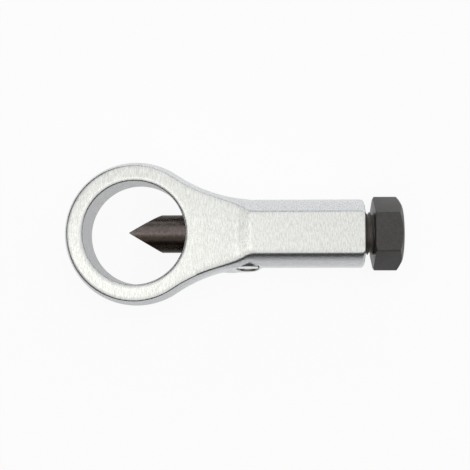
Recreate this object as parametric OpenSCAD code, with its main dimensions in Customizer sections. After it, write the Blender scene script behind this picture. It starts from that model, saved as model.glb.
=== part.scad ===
// Nut splitter: a forged ring-headed body, a wedge-pointed blade driven across the ring
// by a hex-headed pressure screw, and a guide pin that keeps the blade from turning.
// Lies flat: ring axis along Z, tool axis along X, ring at the -X end, head at +X.
// The origin is the centre of the ring, on the tool axis, half-way through the thickness.

/* [Ring] */
// Diameter of the straight bore that the nut sits in
ring_bore_d = 38; // [34:0.1:40]
// Outer diameter of the ring, half-way through its thickness
ring_outer_d = 53.8; // [51:0.1:58]
// Thickness of the ring and of the neck, face to face
ring_thickness = 19; // [17:0.5:20]
// Chamfer round both rims of the bore
bore_chamfer = 0.4; // [0.2:0.05:0.6]

/* [Neck] */
// Radius of the concave sides between the ring and the barrel
neck_arc_r = 55; // [45:1:70]
// Place along the axis where the neck's corners have run out into the round barrel
runout_x = 42.5; // [41:0.1:44]
// Angle of that run-out next to the barrel
runout_angle = 15.2; // [12:0.1:18]
// Place along the axis where the run-out steepens towards the ring
runout_bend_x = 30; // [28:0.5:32]
// Angle of the steeper run-out
runout_steep_angle = 26; // [20:1:32]
// Place along the axis where the face starts to climb to the barrel's flat
ramp_start_x = 38; // [35:0.1:39]
// Length of that climb
ramp_length = 4.8; // [3:0.1:7]

/* [Barrel] */
// Diameter of the round barrel
barrel_d = 25.6; // [25:0.1:28]
// Distance between the two milled flats of the barrel
barrel_flats = 20.8; // [20:0.1:23]
// Place along the axis where the barrel ends
barrel_end_x = 84.8; // [82:0.1:90]
// Chamfer round the barrel's end
barrel_chamfer = 0.5; // [0.3:0.1:1.5]
// Depth along the axis of the lead-in chamfer of the threaded hole
mouth_chamfer = 0.8; // [0.3:0.1:1.2]

/* [Guide pin] */
// Place of the guide pin along the axis
guide_x = 41.7; // [40:0.1:44]
// Lean of the guide pin towards the front face
guide_lean = 8; // [0:1:15]
// Diameter of the guide pin
guide_d = 8; // [7:0.1:9]
// Distance from the tool axis to the outer end of the guide pin
guide_end_r = 13.05; // [12.8:0.05:13.6]
// Edge round-off of the guide pin's outer end
guide_chamfer = 0.35; // [0.2:0.05:0.6]
// Diameter of the dog point that runs in the blade's keyway
dog_d = 4.5; // [3.5:0.1:5]
// Distance from the tool axis to the spot face round the guide pin
spot_face_r = 13.65; // [13.3:0.05:14]
// Diameter of the spot face
spot_face_d = 13.2; // [11:0.1:14]

/* [Swell round the guide pin] */
// Place along the axis of the swell's crest
swell_x = 39.5; // [38:0.1:41]
// Radius of the swell at its crest, round its own axis
swell_r = 9.9; // [9:0.05:11]
// Distance of the swell's own axis from the tool axis, towards the guide pin
swell_out = 5; // [4:0.05:6]
// Distance of the swell's own axis from the tool axis, towards the back face
swell_back = 1.5; // [0:0.05:2]
// Radius of the long slope towards the ring
swell_long_r = 60; // [40:1:80]
// Radius of the shoulder towards the barrel
swell_short_r = 9; // [6:0.1:12]
// Angle at which the long slope gives way to the shoulder
swell_turn = 2; // [1:0.1:4]
// Radius of the hollow between the shoulder and the barrel
swell_hollow_r = 3; // [2:0.1:5]
// How far the swell's foot lies under the barrel's surface
swell_sink = 0.15; // [0.1:0.05:0.3]

/* [Blade] */
// Diameter of the blade
blade_d = 14.2; // [13:0.1:15]
// Place along the axis of the cutting edge
tip_x = -1.9; // [-6:0.1:2]
// Included angle of the wedge point
point_angle = 62; // [50:1:75]
// Width of the small flat honed on the cutting edge
edge_flat = 0.3; // [0.1:0.05:0.6]
// Place along the axis of the blade's back shoulder
blade_back_x = 49; // [48:0.1:51]
// Depth of the keyway in the blade
keyway_depth = 2.2; // [1.6:0.1:2.6]
// Length of the stub behind the shoulder
stub_length = 6; // [5:0.1:7]
// Diameter of the stub
stub_d = 9; // [8:0.1:9.6]
// Chamfer round the stub's end and the blade's back shoulder
blade_chamfer = 0.5; // [0.2:0.1:0.8]

/* [Travel] */
// How far the blade draws back from the place shown
travel_back = 20.5; // [15:0.5:22]
// How far the blade goes forward from the place shown
travel_forward = 2; // [0.5:0.1:2.4]

/* [Pressure screw] */
// Outer diameter of the thread
thread_d = 16; // [15.6:0.1:17]
// Chamfer at the screw's nose
nose_chamfer = 0.8; // [0.3:0.1:1.2]
// Gap between the barrel's end and the underside of the head
head_gap = 3.5; // [2.1:0.1:6]
// Across flats of the hexagon head
head_af = 24; // [22:0.5:27]
// Length of the head at its corners, underside to the end's rim
head_length = 10.3; // [9:0.1:14]
// Radial drop of the bevel under the head
under_bevel = 0.9; // [0.4:0.05:1.6]
// Slope of the bevel under the head
under_angle = 30; // [20:1:40]
// Radius of the head's end face, inside its outer bevel
end_face_r = 11; // [9.5:0.1:11.5]
// Length along the axis of the outer bevel
end_bevel = 1.7; // [1:0.1:3]
// Rise of the slightly domed end face
end_dome = 0.2; // [0.1:0.05:1]

/* [Coupling] */
// Diameter of the thrust ball
ball_d = 5; // [4:0.1:6]
// Wire diameter of the snap ring
snap_wire_d = 1.2; // [0.8:0.05:1.5]
// Open gap of the snap ring, as an angle
snap_gap_angle = 40; // [20:5:80]
// Distance of the snap ring from the blade's back shoulder
snap_place = 3.4; // [2.5:0.1:4]

/* [Fits] */
// Radial running clearance of the blade and of the screw
run_clearance = 0.05; // [0.02:0.01:0.1]
// Clearance round the snap ring and the thrust ball
ring_clearance = 0.08; // [0.05:0.01:0.15]
// Gap between the blade's back shoulder and the screw's nose
nose_gap = 0.3; // [0.2:0.05:0.5]
// Gap between the dog point and the floor of the keyway
dog_gap = 0.25; // [0.1:0.05:0.4]
// Radial clearance of the guide pin in its hole
guide_clearance = 0.02; // [0.01:0.01:0.05]

/* [Hidden] */
$fn = 96;
// Number of sides of a hexagon
hex_sides = 6;
// Overrun of every cutting shape past the surface that it cuts
over = 1;

face_z = ring_thickness / 2;
flat_z = barrel_flats / 2;
ring_mid_r = ring_outer_d / 2;
barrel_r = barrel_d / 2;
ramp_end_x = ramp_start_x + ramp_length;

// The neck's concave arc touches both the ring's outer circle and the barrel's side line
neck_c_y = barrel_r + neck_arc_r;
neck_c_x = sqrt(pow(ring_mid_r + neck_arc_r, 2) - pow(neck_c_y, 2));
// Where the arc leaves the ring
touch_x = neck_c_x * ring_mid_r / (ring_mid_r + neck_arc_r);
touch_y = neck_c_y * ring_mid_r / (ring_mid_r + neck_arc_r);

blade_r = blade_d / 2;
blade_bore_r = blade_r + run_clearance;
thread_r = thread_d / 2;
thread_bore_r = thread_r + run_clearance;
shoulder_x = tip_x + (blade_r - edge_flat / 2) / tan(point_angle / 2);
nose_x = blade_back_x + nose_gap;
// The threaded hole starts in front of the screw's nose at its furthest travel
thread_start_x = nose_x - travel_forward - nose_gap - nose_chamfer;
keyway_floor_r = blade_r - keyway_depth;
dog_end_r = keyway_floor_r + dog_gap;
dog_shoulder_r = blade_bore_r + run_clearance;
keyway_w = dog_d + 2 * run_clearance;
keyway_front_x = guide_x - travel_back - dog_d / 2 - dog_gap;
keyway_back_x = guide_x + travel_forward + dog_d / 2 + dog_gap;

stub_end_x = blade_back_x + stub_length;
stub_bore_r = stub_d / 2 + ring_clearance;
stub_bore_end_x = stub_end_x + nose_gap;
ball_x = stub_end_x + ball_d / 2;
ball_pocket_r = ball_d / 2 + ring_clearance;
ball_pocket_end_x = stub_end_x + ball_d + ring_clearance;
snap_x = blade_back_x + snap_place;
snap_wire_r = snap_wire_d / 2;
snap_mid_r = stub_d / 2 + ring_clearance / 2;
snap_groove_floor_r = snap_mid_r - snap_wire_r - ring_clearance;
snap_groove_roof_r = snap_mid_r + snap_wire_r + ring_clearance;
snap_groove_w = snap_wire_d + 2 * ring_clearance;

head_x = barrel_end_x + head_gap;
head_corner_r = head_af / 2 / cos(180 / hex_sides);
under_r = head_corner_r - under_bevel;
under_length = under_bevel * tan(under_angle);
dome_r = (end_face_r * end_face_r + end_dome * end_dome) / (2 * end_dome);

// Turns what is drawn round Z so that it lies round the tool axis, +Z towards +X
module along_x() {
  rotate([0, 90, 0])
    children();
}

// Straight round bar on the tool axis between two places
module bar(x0, x1, r) {
  translate([x0, 0, 0])
    along_x()
      cylinder(h = x1 - x0, r = r);
}

// Cone on the tool axis between two places
module taper(x0, x1, r0, r1) {
  translate([x0, 0, 0])
    along_x()
      cylinder(h = x1 - x0, r1 = r0, r2 = r1);
}

// Puts what is drawn along +Z on the guide pin's own axis, Z being the distance from the tool axis
module on_guide_axis(along = 0) {
  translate([guide_x + along, 0, 0])
    rotate([-guide_lean, 0, 0])
      rotate([90, 0, 0])
        children();
}

// Half of the body's turned outline, distance from the tool axis by place along it: the ball of
// the ring's outer wall, and the barrel with its end chamfer
module turned_outline() {
  intersection() {
    circle(r = ring_mid_r);
    translate([0, -ring_mid_r - over])
      square([ring_mid_r + over, 2 * (ring_mid_r + over)]);
  }
  polygon([
    [0, 0],
    [barrel_r, 0],
    [barrel_r, barrel_end_x - barrel_chamfer],
    [barrel_r - barrel_chamfer, barrel_end_x],
    [0, barrel_end_x]
  ]);
}

// One hollow side of the neck, crowned from face to face as the ring's ball is
module neck_side() {
  crown_c = neck_arc_r + ring_mid_r;
  translate([neck_c_x, neck_c_y, 0])
    rotate_extrude()
      difference() {
        translate([0, -face_z - over])
          square([crown_c, 2 * (face_z + over)]);
        translate([crown_c, 0])
          circle(r = ring_mid_r);
      }
}

// Half of the turned run-out that takes the neck's corners down to the barrel
module runout_outline() {
  bend_r = barrel_r + (runout_x - runout_bend_x) * tan(runout_angle);
  polygon([
    [0, 0],
    [bend_r + runout_bend_x * tan(runout_steep_angle), 0],
    [bend_r, runout_bend_x],
    [barrel_r, runout_x],
    [0, runout_x]
  ]);
}

// Neck between its two hollow sides, from the ring's ball to the barrel
module neck() {
  intersection() {
    difference() {
      linear_extrude(height = 2 * (face_z + over), center = true)
        polygon([
          [0, 0],
          [touch_x, touch_y],
          [runout_x + over, touch_y],
          [runout_x + over, -touch_y],
          [touch_x, -touch_y]
        ]);
      for (side = [0, 1])
        mirror([0, side, 0])
          neck_side();
    }
    along_x()
      rotate_extrude()
        runout_outline();
  }
}

// Side view of the body: level ring and neck, the climb, and the barrel between its flats
module side_profile() {
  front_x = -ring_mid_r - over;
  rotate([90, 0, 0])
    linear_extrude(height = ring_outer_d + 2 * over, center = true)
      polygon([
        [front_x, face_z],
        [ramp_start_x, face_z],
        [ramp_end_x, flat_z],
        [barrel_end_x + over, flat_z],
        [barrel_end_x + over, -flat_z],
        [ramp_end_x, -flat_z],
        [ramp_start_x, -face_z],
        [front_x, -face_z]
      ]);
}

// Half of the swell's outline round its own axis: long slope, crest, shoulder and hollow foot
module swell_outline() {
  long_c = [swell_r - swell_long_r, swell_x];
  short_c = long_c + (swell_long_r - swell_short_r) * [cos(swell_turn), sin(swell_turn)];
  turn_x = swell_x + swell_long_r * sin(swell_turn);
  foot_r = barrel_r - norm([swell_out, swell_back]) - swell_sink;
  hollow_c_r = foot_r + swell_hollow_r;
  reach = swell_short_r + swell_hollow_r;
  hollow_c_x = short_c[1] + sqrt(reach * reach - pow(hollow_c_r - short_c[0], 2));
  meet_r = short_c[0] + (hollow_c_r - short_c[0]) * swell_short_r / reach;
  start_x = swell_x - swell_r;
  intersection() {
    translate(long_c)
      circle(r = swell_long_r);
    translate([0, start_x])
      square([swell_r + over, hollow_c_x - start_x]);
    union() {
      translate([0, start_x])
        square([swell_r + over, turn_x - start_x]);
      translate(short_c)
        circle(r = swell_short_r);
    }
  }
  difference() {
    translate([0, turn_x])
      square([meet_r, hollow_c_x - turn_x]);
    translate([hollow_c_r, hollow_c_x])
      circle(r = swell_hollow_r);
  }
}

// Swell of the body round the guide pin, turned round an axis beside the tool's
module swell() {
  translate([0, -swell_out, -swell_back])
    along_x()
      rotate_extrude()
        swell_outline();
}

// Bore of the ring with both rims chamfered
module ring_bore() {
  bore_r = ring_bore_d / 2;
  translate([0, 0, -face_z - over])
    cylinder(h = ring_thickness + 2 * over, r = bore_r);
  for (side = [0, 1])
    mirror([0, 0, side])
      translate([0, 0, face_z - bore_chamfer])
        cylinder(h = bore_chamfer + over, r1 = bore_r, r2 = bore_r + bore_chamfer + over);
}

module forged_body() {
  color("gainsboro")
    difference() {
      intersection() {
        union() {
          along_x()
            rotate_extrude()
              turned_outline();
          neck();
          swell();
        }
        side_profile();
      }
      ring_bore();
      bar(0, barrel_end_x + over, blade_bore_r);
      bar(thread_start_x, barrel_end_x + over, thread_bore_r);
      taper(barrel_end_x - mouth_chamfer, barrel_end_x + over,
            thread_bore_r, thread_bore_r + mouth_chamfer + over);
      on_guide_axis()
        cylinder(h = spot_face_r + over, r = guide_d / 2 + guide_clearance);
      on_guide_axis()
        translate([0, 0, spot_face_r])
          cylinder(h = swell_out + over, d = spot_face_d);
    }
}

module guide_pin() {
  body_end_r = guide_end_r - guide_chamfer;
  color("silver")
    difference() {
      on_guide_axis() {
        translate([0, 0, dog_end_r])
          cylinder(h = guide_end_r - dog_end_r - guide_chamfer, d = dog_d);
        translate([0, 0, dog_shoulder_r])
          cylinder(h = body_end_r - dog_shoulder_r, d = guide_d);
        translate([0, 0, body_end_r])
          cylinder(h = guide_chamfer, d1 = guide_d, d2 = guide_d - 2 * guide_chamfer);
      }
      bar(guide_x - guide_d, guide_x + guide_d, dog_shoulder_r - dog_gap);
    }
}

// The wedge point and the square back, seen from the front
module blade_outline() {
  linear_extrude(height = blade_d + 2 * over, center = true)
    polygon([
      [tip_x, edge_flat / 2],
      [shoulder_x, blade_r],
      [blade_back_x, blade_r],
      [blade_back_x, -blade_r],
      [shoulder_x, -blade_r],
      [tip_x, -edge_flat / 2]
    ]);
}

// Slot with round ends for the dog point, along the side of the blade that faces the guide pin
module keyway() {
  on_guide_axis()
    translate([0, 0, keyway_floor_r])
      union() {
        translate([keyway_front_x + dog_d / 2 - guide_x, 0, 0])
          cylinder(h = keyway_depth + over, d = keyway_w);
        translate([keyway_back_x - dog_d / 2 - guide_x, 0, 0])
          cylinder(h = keyway_depth + over, d = keyway_w);
        translate([keyway_front_x + dog_d / 2 - guide_x, -keyway_w / 2, 0])
          cube([keyway_back_x - keyway_front_x - dog_d, keyway_w, keyway_depth + over]);
      }
}

module splitting_blade() {
  color([0.25, 0.22, 0.22])
    difference() {
      union() {
        intersection() {
          union() {
            bar(tip_x, blade_back_x - blade_chamfer, blade_r);
            taper(blade_back_x - blade_chamfer, blade_back_x, blade_r, blade_r - blade_chamfer);
          }
          blade_outline();
        }
        bar(blade_back_x - blade_chamfer, stub_end_x - blade_chamfer, stub_d / 2);
        taper(stub_end_x - blade_chamfer, stub_end_x, stub_d / 2, stub_d / 2 - blade_chamfer);
      }
      keyway();
      difference() {
        bar(snap_x - snap_groove_w / 2, snap_x + snap_groove_w / 2, stub_d / 2 + over);
        bar(snap_x - snap_groove_w, snap_x + snap_groove_w, snap_groove_floor_r);
      }
    }
}

// Outline of the head round the tool axis: bevel underneath, bevel and low dome at the end
module head_envelope() {
  rim_x = head_length - end_bevel;
  along_x()
    rotate_extrude()
      intersection() {
        polygon([
          [0, 0],
          [under_r, 0],
          [head_corner_r, under_length],
          [head_corner_r, rim_x],
          [end_face_r, head_length],
          [end_face_r, head_length + end_dome],
          [0, head_length + end_dome]
        ]);
        translate([0, head_length + end_dome - dome_r])
          circle(r = dome_r);
      }
}

module pressure_screw() {
  color([0.24, 0.23, 0.22])
    difference() {
      union() {
        taper(nose_x, nose_x + nose_chamfer, thread_r - nose_chamfer, thread_r);
        bar(nose_x + nose_chamfer, head_x + under_length, thread_r);
        translate([head_x, 0, 0])
          intersection() {
            head_envelope();
            along_x()
              rotate([0, 0, 90])
                cylinder(h = head_length + end_dome + over, r = head_corner_r, $fn = hex_sides);
          }
      }
      bar(nose_x - over, stub_bore_end_x, stub_bore_r);
      bar(stub_bore_end_x - over, ball_pocket_end_x, ball_pocket_r);
      bar(snap_x - snap_groove_w / 2, snap_x + snap_groove_w / 2, snap_groove_roof_r);
    }
}

module thrust_ball() {
  color("silver")
    translate([ball_x, 0, 0])
      sphere(d = ball_d);
}

module snap_ring() {
  color("dimgray")
    translate([snap_x, 0, 0])
      along_x()
        rotate([0, 0, snap_gap_angle / 2])
          rotate_extrude(angle = 360 - snap_gap_angle)
            translate([snap_mid_r, 0])
              circle(r = snap_wire_r);
}

forged_body();
guide_pin();
splitting_blade();
pressure_screw();
thrust_ball();
snap_ring();
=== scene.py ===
"""Nut splitter: the studio, the finishes and the pieces that the solids leave plain."""
import math

import bpy
from mathutils import Matrix, Vector


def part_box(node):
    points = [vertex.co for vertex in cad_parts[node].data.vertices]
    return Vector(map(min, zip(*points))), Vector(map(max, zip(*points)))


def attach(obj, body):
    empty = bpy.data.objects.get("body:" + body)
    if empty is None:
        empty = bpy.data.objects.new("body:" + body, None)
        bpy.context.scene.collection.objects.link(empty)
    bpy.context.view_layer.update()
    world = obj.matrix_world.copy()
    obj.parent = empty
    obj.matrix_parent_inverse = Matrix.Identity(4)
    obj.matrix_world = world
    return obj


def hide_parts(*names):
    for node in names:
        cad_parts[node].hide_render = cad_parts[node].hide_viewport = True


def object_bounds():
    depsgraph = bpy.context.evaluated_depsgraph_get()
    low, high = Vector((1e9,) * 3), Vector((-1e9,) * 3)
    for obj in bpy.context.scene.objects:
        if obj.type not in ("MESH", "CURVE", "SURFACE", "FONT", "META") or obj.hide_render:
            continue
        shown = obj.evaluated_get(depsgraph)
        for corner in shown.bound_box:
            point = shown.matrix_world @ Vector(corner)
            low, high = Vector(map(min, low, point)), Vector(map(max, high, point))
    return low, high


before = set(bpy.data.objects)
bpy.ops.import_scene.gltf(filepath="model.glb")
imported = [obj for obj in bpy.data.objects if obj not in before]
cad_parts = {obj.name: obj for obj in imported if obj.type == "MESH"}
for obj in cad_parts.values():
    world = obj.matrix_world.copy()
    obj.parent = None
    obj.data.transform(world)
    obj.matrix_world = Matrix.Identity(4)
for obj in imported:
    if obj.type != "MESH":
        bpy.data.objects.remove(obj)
cad_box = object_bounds()


def opaque(red, green, blue):
    return (red, green, blue, 1.0)


MM = 0.001
QUARTER_TURN = math.radians(90.0)
FULL_TURN = math.radians(360.0)
# Vertices closer than this, in metres, are one
MERGE = 1e-6

# Camera: straight down on the flat faces, a little to the pin's side of the tool axis
CAMERA_PLACE = Vector((50.8, -20.6, 330.0)) * MM
CAMERA_AIM = Vector((36.9, -0.4, 0.0)) * MM
CAMERA_LENS = 67.45
SENSOR_WIDTH = 36.0
CLIP_START = 0.005
CLIP_END = 20.0

# Floor, just under the tool. Its level as the tool sees it changes over these distances, metres: a
# painted shadow under the ring, painted shade far out on the -Y side and painted light near the
# tool and on the +Y side
FLOOR_GAP = 0.05
FLOOR_Z = cad_box[0][2] - FLOOR_GAP * MM
FLOOR_SIZE = 4.0
FLOOR_CARD = opaque(0.9, 0.9, 0.9)
FLOOR_WHITE = opaque(1.0, 1.0, 1.0)
FLOOR_LEVEL = 0.68
NEAR_PAINTED_LIGHT = 0.27
NEAR_Y = (-0.032, -0.016)
FAR_PAINTED_SHADE = 0.28
FAR_Y = (-0.16, -0.08)
RING_PAINTED_SHADOW = 0.36
RING_R = (0.019, 0.026)
# Level that the camera sees, and the share of light of its own for the camera and in mirrors
SEEN_LEVEL = 1.05
SEEN_SHARE = 0.86
MIRRORED_SHARE = 0.75

# Tent: levels, and the stretches of a ray's direction over which they come and go
TENT_COLOUR = opaque(0.985, 0.99, 1.0)
TENT_LEVEL = 0.86
ROOF_GAIN = 0.04
ROOF_UP = (0.80, 0.97)
BELT_LOW = (0.40, 0.48)
BELT_HIGH = (0.66, 0.76)
BELT_LOSS = 0.35
BELT_LOSS_RING_END = 0.4
BELT_RING_END = (-0.35, 0.1)
RING_END_LOSS = 0.3
RING_END_ALONG = (-0.42, -0.30)
OPENING_LEVEL = 0.06
OPENING_UP = (0.58, 0.82)
OPENING_ACROSS = (-0.45, -0.15)

# Lamp over the ring, metres and watts
LAMP_PLACE = Vector((-0.215, -0.005, 0.9))
LAMP_SIZE = (0.09, 0.26)
LAMP_POWER = 0.122

# Forging: grid that its edges are softened on, passes of smoothing, and degrees that count as flat
SOFT_VOXEL = 0.4
SOFT_FACTOR = 0.5
SOFT_PASSES = 18
SOFT_ANGLE = 0.4
# The front edge on the pin's side is rounder: box that holds it, and passes of smoothing
WORN_LOW = (23.0, -20.0, 7.6)
WORN_HIGH = (83.6, -4.0, 12.0)
WORN_PASSES = 45
# Ground flat faces and blasted sides: darker and lighter tone
FACE_TONES = (opaque(0.71, 0.715, 0.67), opaque(0.95, 0.955, 0.905))
SIDE_TONES = (opaque(0.68, 0.695, 0.705), opaque(0.9, 0.915, 0.925))
# Painted shade in the gap round the guide pin
PIN_GAP_SHADE_TONE = opaque(0.24, 0.24, 0.225)

# Guide pin, millimetres: its place along the tool axis and its lean towards the front face
GUIDE_X = 41.7
GUIDE_LEAN = math.radians(8.0)
GUIDE_OUT = Vector((0.0, -math.cos(GUIDE_LEAN), math.sin(GUIDE_LEAN)))
GUIDE_FRONT = Vector((0.0, math.sin(GUIDE_LEAN), math.cos(GUIDE_LEAN)))
# Distance from the tool axis along the pin's own axis, and radius
PIN_OUTLINE = [(5.15, 2.25), (7.25, 2.25), (7.25, 3.98), (12.95, 3.98), (13.03, 3.9),
               (13.06, 3.6), (13.08, 2.2), (13.09, 0.4)]
PIN_SMOOTH = 20.0
# Fillet of the forging round the pin, and the bore through it, on the same axis
FILLET_OUTLINE = [(9.5, 5.9), (11.3, 5.9), (12.2, 4.75), (12.7, 4.35), (12.98, 4.12)]
FILLET_BORE = [(9.0, 4.0), (14.5, 4.0)]
# The fillet is on the front side only, from this far in front of the pin's own axis
FILLET_FROM = 2.6
# Radii between which the painted shade in the gap round the pin fades out, and the side that it is
# on
PIN_GAP_SHADE_R = (4.1, 4.5)
PIN_GAP_SHADE_Y = (-8.0, -6.0)

# Pressure screw, millimetres: M16 x 1.5 thread, then the hexagon head of 24 mm across flats
THREAD_PITCH = 1.5
THREAD_R = 8.0
THREAD_ROOT_R = 7.08
THREAD_CREST = 0.45
THREAD_FLANK = 1.1
THREAD_CUTS = 8
THREAD_STEPS = 64
# Pitches that the helix starts before its first cut, and turns that it has to spare
THREAD_LEAD = 2.37
THREAD_SPARE = 4
# Nose: how far ahead of it the turned outline starts, how deep, and where it is full round
NOSE_AHEAD = 0.5
NOSE_TIP_DEPTH = 0.9
NOSE_CHAMFER = 1.6
NOSE_CLEAR = 0.8
HEAD_X = 88.3
HEAD_OVERLAP = 1.0
HEAD_OVERRUN = 2.0
HEX_SIDES = 6
HEX_FLAT_R = 12.0
HEX_CORNER_R = HEX_FLAT_R / math.cos(math.radians(30.0))
HEX_EDGE = 0.3
HEX_EDGE_STEPS = 3
# Edges that run further than this along the axis are eased
HEX_LONG_EDGE = 1.0
SCREW_SMOOTH = 24.0
# Place along the axis and radius of the head's turned outline
HEAD_OUTLINE = [(88.3, 12.96), (88.82, 13.86), (96.9, 13.86), (98.6, 11.0),
                (98.71, 7.5), (98.78, 3.6), (98.8, 0.5)]
# Bore for the blade's stub, pocket for the ball and groove for the snap ring, inside the nose
NOSE_BORES = [
    [(48.0, 4.58), (55.3, 4.58)],
    [(55.0, 2.58), (60.08, 2.58)],
    [(51.72, 5.2), (53.08, 5.2)],
]
# The oxide's darker and lighter tone: thread, head, and the blade's two halves. The thread's tones
# are painted lighter than the head's, as painted light in the gap, and the blade's halves are
# painted shaded and lit
# Thread: the head's black oxide painted lighter, as painted light
THREAD_PAINTED_LIGHT_TONES = (opaque(0.15, 0.138, 0.125), opaque(0.23, 0.21, 0.19))
HEAD_TONES = (opaque(0.058, 0.055, 0.052), opaque(0.098, 0.092, 0.088))
HEAD_TONES_X = (HEAD_X - 0.2, HEAD_X + 0.05)
# Blade: the pin-side half is painted shaded and the far half is painted lit
BLADE_SHADED_SIDE_TONES = (opaque(0.045, 0.033, 0.027), opaque(0.085, 0.065, 0.054))
BLADE_LIT_SIDE_TONES = (opaque(0.115, 0.095, 0.087), opaque(0.215, 0.18, 0.165))
BLADE_LIGHT_SHADE_Y = (-2.0, 0.2)

# Sides of a small and of a large turned piece
SMALL_SIDES = 64
LARGE_SIDES = 96


class Wire:
    """An output of a shader node; arithmetic on it adds the Math nodes."""

    def __init__(self, finish, socket):
        self.finish = finish
        self.socket = socket

    def _math(self, operation, *values):
        sockets = dict(enumerate(values))
        return self.finish.node("ShaderNodeMath", {"operation": operation}, sockets)

    def __add__(self, other):
        return self._math("ADD", self, other)

    def __radd__(self, other):
        return self._math("ADD", other, self)

    def __sub__(self, other):
        return self._math("SUBTRACT", self, other)

    def __rsub__(self, other):
        return self._math("SUBTRACT", other, self)

    def __mul__(self, other):
        return self._math("MULTIPLY", self, other)

    def __rmul__(self, other):
        return self._math("MULTIPLY", other, self)

    def __truediv__(self, other):
        return self._math("DIVIDE", self, other)

    def __rtruediv__(self, other):
        return self._math("DIVIDE", other, self)

    def __pow__(self, other):
        return self._math("POWER", self, other)

    def __abs__(self):
        return self._math("ABSOLUTE", self)


class Finish:
    """A material, or the studio's surroundings, under construction."""

    def __init__(self, name, library=None):
        self.made = (bpy.data.materials if library is None else library).new(name)
        self.made.use_nodes = True
        self.tree = self.made.node_tree
        self.tree.nodes.clear()

    def node(self, kind, settings=None, sockets=None, out=0):
        made = self.tree.nodes.new(kind)
        for name, value in (settings or {}).items():
            setattr(made, name, value)
        for name, value in (sockets or {}).items():
            target = made.inputs[name]
            if isinstance(value, Wire):
                self.tree.links.new(value.socket, target)
            else:
                target.default_value = value
        return Wire(self, made.outputs[out])

    def coordinates(self, kind):
        return self.node("ShaderNodeTexCoord", out=kind)

    def split(self, vector):
        """The three parts of a vector."""
        return [self.node("ShaderNodeSeparateXYZ", {}, {0: vector}, out=i) for i in range(3)]

    def ray(self, kind):
        return self.node("ShaderNodeLightPath", out=kind)

    def stretched(self, scale):
        """The object's coordinates in millimetres, scaled along each axis."""
        size = tuple(s / MM for s in scale)
        return self.node("ShaderNodeMapping", {}, {
            "Vector": self.coordinates("Object"), "Scale": size})

    def grain(self, scale, detail=3.0, roughness=0.55):
        return self.node("ShaderNodeTexNoise", {}, {
            "Vector": self.stretched(scale), "Scale": 1.0, "Detail": detail,
            "Roughness": roughness})

    def between(self, value, low, high, to_low=0.0, to_high=1.0):
        """Soft step from low to high."""
        settings = {"clamp": True, "interpolation_type": "SMOOTHSTEP"}
        return self.node("ShaderNodeMapRange", settings, {
            "Value": value, "From Min": low, "From Max": high,
            "To Min": to_low, "To Max": to_high})

    def fading(self, value, low, high):
        """Soft step down from low to high."""
        return self.between(value, low, high, 1.0, 0.0)

    def blend(self, share, a, b):
        return self.node("ShaderNodeMix", {"data_type": "RGBA"}, {0: share, 6: a, 7: b}, out=2)

    def shaded(self, share, a, b):
        return self.node("ShaderNodeMixShader", {}, {0: share, 1: a, 2: b})

    def bump(self, height, distance, strength, **sockets):
        return self.node("ShaderNodeBump", {}, {
            "Height": height, "Distance": distance * MM, "Strength": strength, **sockets})

    def principled(self, sockets):
        return self.node("ShaderNodeBsdfPrincipled", {}, sockets)

    def close(self, shader, kind="ShaderNodeOutputMaterial"):
        end = self.tree.nodes.new(kind)
        self.tree.links.new(shader.socket, end.inputs["Surface"])
        return self.made


def satin_forging():
    """Plated satin steel: ground flat faces with grain across the tool, blasted sides."""
    finish = Finish("satin_forging")
    up = finish.split(finish.coordinates("Normal"))[2]
    flat = finish.between(abs(up), 0.9, 0.985)
    ground = finish.grain((2.4, 0.55, 2.4), detail=4.0, roughness=0.75)
    scratch = finish.grain((5.0, 0.4, 5.0), detail=2.0, roughness=0.6)
    blasted = finish.grain((1.9, 1.9, 1.9), detail=4.0, roughness=0.7)
    clouds = finish.grain((0.12, 0.12, 0.12), detail=2.0)
    streaks = ground * 0.65 + scratch * 0.35
    relief = flat * streaks * 1.2 + (1.0 - flat) * blasted * 1.5
    face_tone = finish.blend(finish.between(streaks, 0.37, 0.61), *FACE_TONES)
    side_tone = finish.blend(finish.between(blasted, 0.38, 0.62), *SIDE_TONES)
    clean = finish.blend(flat, side_tone, face_tone)
    # Painted shade in the gap where the pin meets the forging
    x, y, z = finish.split(finish.stretched((1.0, 1.0, 1.0)))
    beside = y * GUIDE_FRONT.y + z * GUIDE_FRONT.z
    from_pin = ((x - GUIDE_X) ** 2.0 + beside ** 2.0) ** 0.5
    pin_gap_shade = finish.fading(from_pin, *PIN_GAP_SHADE_R) * finish.fading(y, *PIN_GAP_SHADE_Y)
    rough = flat * (0.2 + 0.12 * streaks) + (1.0 - flat) * (0.15 + 0.07 * clouds)
    return finish.close(finish.principled({
        "Base Color": finish.blend(pin_gap_shade, clean, PIN_GAP_SHADE_TONE), "Metallic": 1.0, "Roughness": rough,
        "Normal": finish.bump(relief, 0.05, 1.0)}))


def black_oxide(name, tones, other_tones, axis, change, rough_low, rough_high, metallic):
    """Oiled black oxide on turned steel; its tones change over a stretch of one axis."""
    finish = Finish(name)
    mottle = finish.grain((0.9, 0.9, 0.9), detail=6.0, roughness=0.75)
    speck = finish.grain((3.0, 3.0, 3.0))
    worn = finish.between(mottle, 0.3, 0.72)
    along = finish.split(finish.stretched((1.0, 1.0, 1.0)))[axis]
    # Tones that change along one axis paint light and shade: a lighter thread, and a shaded and a
    # lit blade half
    tone = finish.blend(finish.between(along, *change),
                        finish.blend(worn, *tones), finish.blend(worn, *other_tones))
    rough = rough_low + (rough_high - rough_low) * finish.between(mottle, 0.3, 0.7)
    edge = finish.node("ShaderNodeBevel", {"samples": 6}, {"Radius": 0.2 * MM})
    return finish.close(finish.principled({
        "Base Color": tone, "Metallic": metallic, "Roughness": rough,
        "Normal": finish.bump(speck, 0.02, 0.5, Normal=edge)}))


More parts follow.
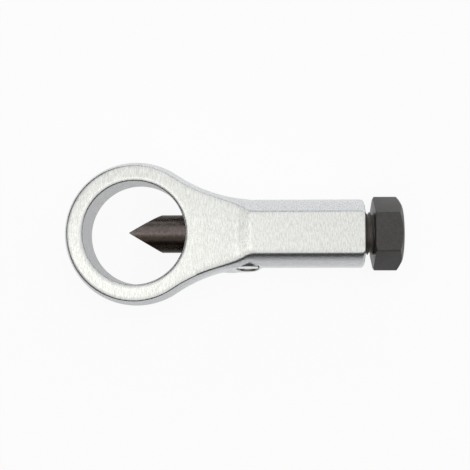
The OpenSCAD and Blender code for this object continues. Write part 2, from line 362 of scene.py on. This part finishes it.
def bright_steel(name, tone, rough_low, rough_high):
    """Ground or polished steel with a faint unevenness."""
    finish = Finish(name)
    turning = finish.grain((1.2, 1.2, 1.2), detail=4.0)
    rough = rough_low + (rough_high - rough_low) * turning
    return finish.close(finish.principled({
        "Base Color": tone, "Metallic": 1.0, "Roughness": rough,
        "Normal": finish.bump(turning, 0.01, 0.4)}))


def pale_floor():
    """White card that keeps a faint shadow and reads white to the camera; in reflections it glows
    with painted light and shade, and with a painted shadow under the ring.
    """
    finish = Finish("pale_floor")
    seen = finish.ray("Is Camera Ray")
    mirrored = finish.ray("Is Glossy Ray")
    along, across, _ = finish.split(finish.coordinates("Object"))
    ring_low, ring_high = (r ** 2 for r in RING_R)
    ring = finish.fading(along * along + across * across, ring_low, ring_high)
    near = finish.between(across, *NEAR_Y)
    far = finish.fading(across, *FAR_Y)
    # Painted light and shade in the glow seen in reflections: a painted shadow under the ring,
    # darker far out on -Y, lighter near the tool and on +Y
    level = FLOOR_LEVEL + NEAR_PAINTED_LIGHT * near - FAR_PAINTED_SHADE * far - RING_PAINTED_SHADOW * ring
    card = finish.node("ShaderNodeBsdfDiffuse", {}, {"Color": FLOOR_CARD})
    white = finish.node("ShaderNodeEmission", {}, {
        "Color": FLOOR_WHITE, "Strength": seen * SEEN_LEVEL + (1.0 - seen) * level})
    return finish.close(finish.shaded(seen * SEEN_SHARE + mirrored * MIRRORED_SHARE, card, white))


def set_camera():
    data = bpy.data.cameras.new("studio_camera")
    data.lens = CAMERA_LENS
    data.sensor_width = SENSOR_WIDTH
    data.clip_start = CLIP_START
    data.clip_end = CLIP_END
    camera = bpy.data.objects.new("studio_camera", data)
    back = (CAMERA_PLACE - CAMERA_AIM).normalized()
    right = Vector((0.0, 1.0, 0.0)).cross(back).normalized()
    camera.rotation_euler = Matrix((right, back.cross(right), back)).transposed().to_euler()
    camera.location = CAMERA_PLACE
    bpy.context.scene.collection.objects.link(camera)
    bpy.context.scene.camera = camera


def set_floor():
    deselect()
    bpy.ops.mesh.primitive_plane_add(size=FLOOR_SIZE, location=(0.0, 0.0, FLOOR_Z))
    floor = bpy.context.object
    floor.name = "studio_floor"
    floor.data.materials.append(pale_floor())


def set_lamp():
    """Soft lamp aimed at the ring."""
    data = bpy.data.lights.new("overhead", "AREA")
    data.shape = "RECTANGLE"
    data.size, data.size_y = LAMP_SIZE
    data.energy = LAMP_POWER
    lamp = bpy.data.objects.new("overhead", data)
    lamp.location = LAMP_PLACE
    lamp.rotation_euler = (-LAMP_PLACE).to_track_quat("-Z", "Y").to_euler()
    bpy.context.scene.collection.objects.link(lamp)


def set_tent():
    """Pale tent with a soft dark belt, open and dark low down on the pin's side."""
    tent = Finish("studio_tent", bpy.data.worlds)
    along, across, up = tent.split(tent.coordinates("Generated"))
    opening = tent.fading(up, *OPENING_UP) * tent.fading(across, *OPENING_ACROSS)
    belt = tent.between(up, *BELT_LOW) * tent.fading(up, *BELT_HIGH)
    belt_loss = BELT_LOSS + BELT_LOSS_RING_END * tent.fading(along, *BELT_RING_END)
    roof = tent.between(up, *ROOF_UP)
    ring_end = tent.fading(along, *RING_END_ALONG)
    pale = TENT_LEVEL + ROOF_GAIN * roof - belt_loss * belt - RING_END_LOSS * ring_end
    level = pale * (1.0 - opening) + OPENING_LEVEL * opening
    seen = tent.ray("Is Camera Ray")
    background = tent.node("ShaderNodeBackground", {}, {
        "Color": TENT_COLOUR, "Strength": level * (1.0 - seen) + seen})
    bpy.context.scene.world = tent.close(background, "ShaderNodeOutputWorld")


def deselect():
    if bpy.context.object and bpy.context.object.mode != "OBJECT":
        bpy.ops.object.mode_set(mode="OBJECT")
    bpy.ops.object.select_all(action="DESELECT")


def pick(piece):
    deselect()
    piece.select_set(True)
    bpy.context.view_layer.objects.active = piece


def edit_all(piece):
    """Opens the piece in edit mode with everything selected."""
    pick(piece)
    bpy.ops.object.mode_set(mode="EDIT")
    bpy.ops.mesh.select_all(action="SELECT")


def apply(piece, kind, **settings):
    """Adds one modifier to the piece and applies it."""
    pick(piece)
    modifier = piece.modifiers.new(kind.lower(), kind)
    for name, value in settings.items():
        setattr(modifier, name, value)
    bpy.ops.object.modifier_apply(modifier=modifier.name)


def combine(piece, other, operation):
    """Joins, cuts or crosses one closed piece with another, which is used up."""
    apply(piece, "BOOLEAN", object=other, operation=operation, solver="EXACT")
    bpy.data.objects.remove(other, do_unlink=True)


def settle(piece):
    """Joins doubles, turns the faces outwards and puts the object at the origin."""
    edit_all(piece)
    bpy.ops.mesh.remove_doubles(threshold=MERGE)
    bpy.ops.mesh.normals_make_consistent(inside=False)
    bpy.ops.object.mode_set(mode="OBJECT")
    bpy.ops.object.transform_apply(location=True, rotation=True, scale=True)


def choose(piece, wanted):
    """Selects the vertices of the piece in edit mode that are wanted, by their place."""
    bpy.ops.object.mode_set(mode="OBJECT")
    for part in (piece.data.polygons, piece.data.edges):
        for item in part:
            item.select = False
    for vertex in piece.data.vertices:
        vertex.select = wanted(piece.matrix_world @ vertex.co)
    bpy.ops.object.mode_set(mode="EDIT")
    bpy.ops.mesh.select_mode(type="VERT")


def cut_off(piece, place, direction, side):
    """Takes away one side of a plane, clear_inner or clear_outer, and closes the cut."""
    edit_all(piece)
    bpy.ops.mesh.bisect(plane_co=place, plane_no=direction, use_fill=True,
                        threshold=MERGE / 10, **{side: True})


def merged_copy(node, name):
    """A copy of a CAD node with its loose triangles joined up."""
    piece = bpy.data.objects.new(name, bpy.data.objects[node].data.copy())
    bpy.context.scene.collection.objects.link(piece)
    edit_all(piece)
    bpy.ops.mesh.remove_doubles(threshold=MERGE)
    bpy.ops.object.mode_set(mode="OBJECT")
    piece.data.materials.clear()
    return piece


def turned(name, stations, sides):
    """A bar turned round the tool axis: a disc at the first station, drawn out to the others."""
    deselect()
    x, radius = stations[0]
    bpy.ops.mesh.primitive_circle_add(
        vertices=sides, radius=radius * MM, fill_type="NGON", enter_editmode=True,
        location=(x * MM, 0.0, 0.0), rotation=(0.0, QUARTER_TURN, 0.0))
    piece = bpy.context.object
    piece.name = name
    bpy.ops.mesh.select_all(action="SELECT")
    for next_x, next_radius in stations[1:]:
        bpy.ops.mesh.extrude_region_move(
            TRANSFORM_OT_translate={"value": ((next_x - x) * MM, 0.0, 0.0)})
        spread = next_radius / radius
        bpy.ops.transform.resize(value=(1.0, spread, spread),
                                 center_override=(next_x * MM, 0.0, 0.0))
        x, radius = next_x, next_radius
    settle(piece)
    return piece


def thread(name, start_x, end_x):
    """Right-hand thread: one pitch of its outline, wound round the axis and cut off square."""
    turns = math.ceil((end_x - start_x) / THREAD_PITCH) + THREAD_SPARE
    middle_x = start_x - THREAD_LEAD * THREAD_PITCH + THREAD_PITCH / 2
    middle_r = THREAD_ROOT_R + THREAD_PITCH / 2
    height = THREAD_R - THREAD_ROOT_R
    crest, flank = THREAD_CREST / 2 * MM, THREAD_FLANK / 2 * MM
    deselect()
    bpy.ops.mesh.primitive_plane_add(
        size=THREAD_PITCH * MM, enter_editmode=True,
        location=(middle_x * MM, middle_r * MM, 0.0))
    piece = bpy.context.object
    piece.name = name
    # The lower edge of the plane is the line that becomes the outline
    choose(piece, lambda v: v.y > middle_r * MM)
    bpy.ops.mesh.delete(type="VERT")
    bpy.ops.mesh.select_all(action="SELECT")
    bpy.ops.mesh.subdivide(number_cuts=THREAD_CUTS)
    bpy.ops.object.mode_set(mode="OBJECT")
    bpy.ops.object.transform_apply(location=True, rotation=True, scale=True)
    bpy.ops.object.mode_set(mode="EDIT")
    choose(piece, lambda v: abs(v.x - middle_x * MM) < crest)
    bpy.ops.transform.translate(value=(0.0, height * MM, 0.0))
    choose(piece, lambda v: crest < abs(v.x - middle_x * MM) < flank)
    bpy.ops.transform.translate(value=(0.0, height / 2 * MM, 0.0))
    bpy.ops.object.mode_set(mode="OBJECT")
    apply(piece, "SCREW", axis="X", angle=FULL_TURN, screw_offset=THREAD_PITCH * MM,
          iterations=turns, steps=THREAD_STEPS, render_steps=THREAD_STEPS,
          use_merge_vertices=True, merge_threshold=MERGE, use_smooth_shade=False)
    settle(piece)
    for cut_x, side in ((start_x, "clear_inner"), (end_x, "clear_outer")):
        cut_off(piece, (cut_x * MM, 0.0, 0.0), (1.0, 0.0, 0.0), side)
    settle(piece)
    return piece


def hexagon(end_x):
    """Hexagon prism along the tool axis, its long edges eased, turned to the head's outline."""
    deselect()
    bpy.ops.mesh.primitive_cylinder_add(
        vertices=HEX_SIDES, radius=HEX_CORNER_R * MM, depth=(end_x - HEAD_X + HEAD_OVERRUN) * MM,
        location=((end_x + HEAD_X) / 2 * MM, 0.0, 0.0), rotation=(0.0, QUARTER_TURN, 0.0))
    head = bpy.context.object
    head.name = "hexagon"
    settle(head)
    pick(head)
    bpy.ops.object.mode_set(mode="EDIT")
    bpy.ops.mesh.select_mode(type="EDGE")
    bpy.ops.mesh.select_all(action="DESELECT")
    bpy.ops.object.mode_set(mode="OBJECT")
    for edge in head.data.edges:
        a, b = (head.data.vertices[i].co for i in edge.vertices)
        edge.select = abs(a.x - b.x) > HEX_LONG_EDGE * MM
    bpy.ops.object.mode_set(mode="EDIT")
    bpy.ops.mesh.bevel(offset=HEX_EDGE * MM, segments=HEX_EDGE_STEPS, affect="EDGES")
    bpy.ops.object.mode_set(mode="OBJECT")
    combine(head, turned("head_turning", HEAD_OUTLINE, LARGE_SIDES), "INTERSECT")
    return head


def on_guide_axis(piece):
    """Moves what was turned round the tool axis onto the guide pin's own axis."""
    pick(piece)
    piece.rotation_mode = "QUATERNION"
    piece.rotation_quaternion = Vector((1.0, 0.0, 0.0)).rotation_difference(GUIDE_OUT)
    piece.location = (GUIDE_X * MM, 0.0, 0.0)
    bpy.ops.object.transform_apply(location=True, rotation=True, scale=True)
    return piece


def pin_fillet():
    """Fillet in front of the pin, cut off level with the rest of the forging behind it."""
    fillet = turned("pin_fillet", FILLET_OUTLINE, SMALL_SIDES)
    combine(fillet, turned("fillet_bore", FILLET_BORE, SMALL_SIDES), "DIFFERENCE")
    on_guide_axis(fillet)
    place = Vector((GUIDE_X * MM, 0.0, 0.0)) + GUIDE_FRONT * FILLET_FROM * MM
    cut_off(fillet, place, GUIDE_FRONT, "clear_inner")
    settle(fillet)
    return fillet


def soften(piece, name, low, high, passes):
    """Rounds the edges that lie inside a box, in millimetres, some more."""
    choose(piece, lambda v: all(a * MM < c < b * MM for a, c, b in zip(low, v, high)))
    group = piece.vertex_groups.new(name=name)
    bpy.ops.object.vertex_group_assign()
    bpy.ops.object.mode_set(mode="OBJECT")
    apply(piece, "SMOOTH", factor=SOFT_FACTOR, iterations=passes, vertex_group=group.name)
    piece.vertex_groups.clear()


def make_forging():
    """The body with the soft edges of a forging, from a copy of its solid."""
    piece = merged_copy("forged_body", "satin_body")
    apply(piece, "REMESH", mode="VOXEL", voxel_size=SOFT_VOXEL * MM)
    apply(piece, "SMOOTH", factor=SOFT_FACTOR, iterations=SOFT_PASSES)
    soften(piece, "worn_edge", WORN_LOW, WORN_HIGH, WORN_PASSES)
    combine(piece, pin_fillet(), "UNION")
    apply(piece, "DECIMATE", decimate_type="DISSOLVE", angle_limit=math.radians(SOFT_ANGLE))
    pick(piece)
    bpy.ops.object.shade_smooth()
    piece.data.materials.append(satin_forging())
    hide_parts("forged_body")
    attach(piece, "body")


def make_pin():
    """Guide pin: dog point, ground shank, and a bright end that is very slightly crowned."""
    piece = on_guide_axis(turned("ground_guide_pin", PIN_OUTLINE, SMALL_SIDES))
    pick(piece)
    bpy.ops.object.shade_smooth_by_angle(angle=math.radians(PIN_SMOOTH))
    piece.data.materials.append(bright_steel("bright_pin", opaque(0.95, 0.95, 0.94), 0.12, 0.24))
    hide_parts("guide_pin")
    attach(piece, "body")


def make_screw():
    """Pressure screw: threaded shank with a drilled nose, and a chamfered hexagon head."""
    low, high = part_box("pressure_screw")
    nose_x, end_x = low[0] / MM, high[0] / MM
    piece = thread("hex_pressure_screw", nose_x, HEAD_X + HEAD_OVERLAP)
    nose_outline = [(nose_x - NOSE_AHEAD, THREAD_ROOT_R - NOSE_TIP_DEPTH),
                    (nose_x + NOSE_CHAMFER, THREAD_R + NOSE_CLEAR),
                    (HEAD_X + HEAD_OVERRUN, THREAD_R + NOSE_CLEAR)]
    combine(piece, turned("nose_cut", nose_outline, LARGE_SIDES), "INTERSECT")
    combine(piece, hexagon(end_x), "UNION")
    for outline in NOSE_BORES:
        combine(piece, turned("drill", outline, SMALL_SIDES), "DIFFERENCE")
    settle(piece)
    pick(piece)
    bpy.ops.object.shade_smooth_by_angle(angle=math.radians(SCREW_SMOOTH))
    piece.data.materials.clear()
    # The thread's tones carry painted light and are lighter than the head's oxide
    piece.data.materials.append(black_oxide(
        "screw_oxide", THREAD_PAINTED_LIGHT_TONES, HEAD_TONES, 0, HEAD_TONES_X, 0.3, 0.42, 0.3))
    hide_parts("pressure_screw")
    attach(piece, "screw")


def dress(node, material):
    """Gives a CAD node its finish, in every slot it has."""
    mesh = bpy.data.objects[node].data
    if not mesh.materials:
        mesh.materials.append(material)
    for i in range(len(mesh.materials)):
        mesh.materials[i] = material


bpy.context.scene.view_settings.view_transform = "Standard"
set_camera()
set_floor()
set_tent()
set_lamp()

make_forging()
make_pin()
make_screw()
# Blade oxide with painted shade on its pin-side half and painted light on its far half
dress("splitting_blade", black_oxide(
    "blade_oxide", BLADE_SHADED_SIDE_TONES, BLADE_LIT_SIDE_TONES, 1, BLADE_LIGHT_SHADE_Y, 0.22, 0.32, 1.0))
dress("thrust_ball", bright_steel("bearing_ball", opaque(0.8, 0.8, 0.8), 0.08, 0.16))
dress("snap_ring", bright_steel("spring_wire", opaque(0.3, 0.3, 0.3), 0.3, 0.45))
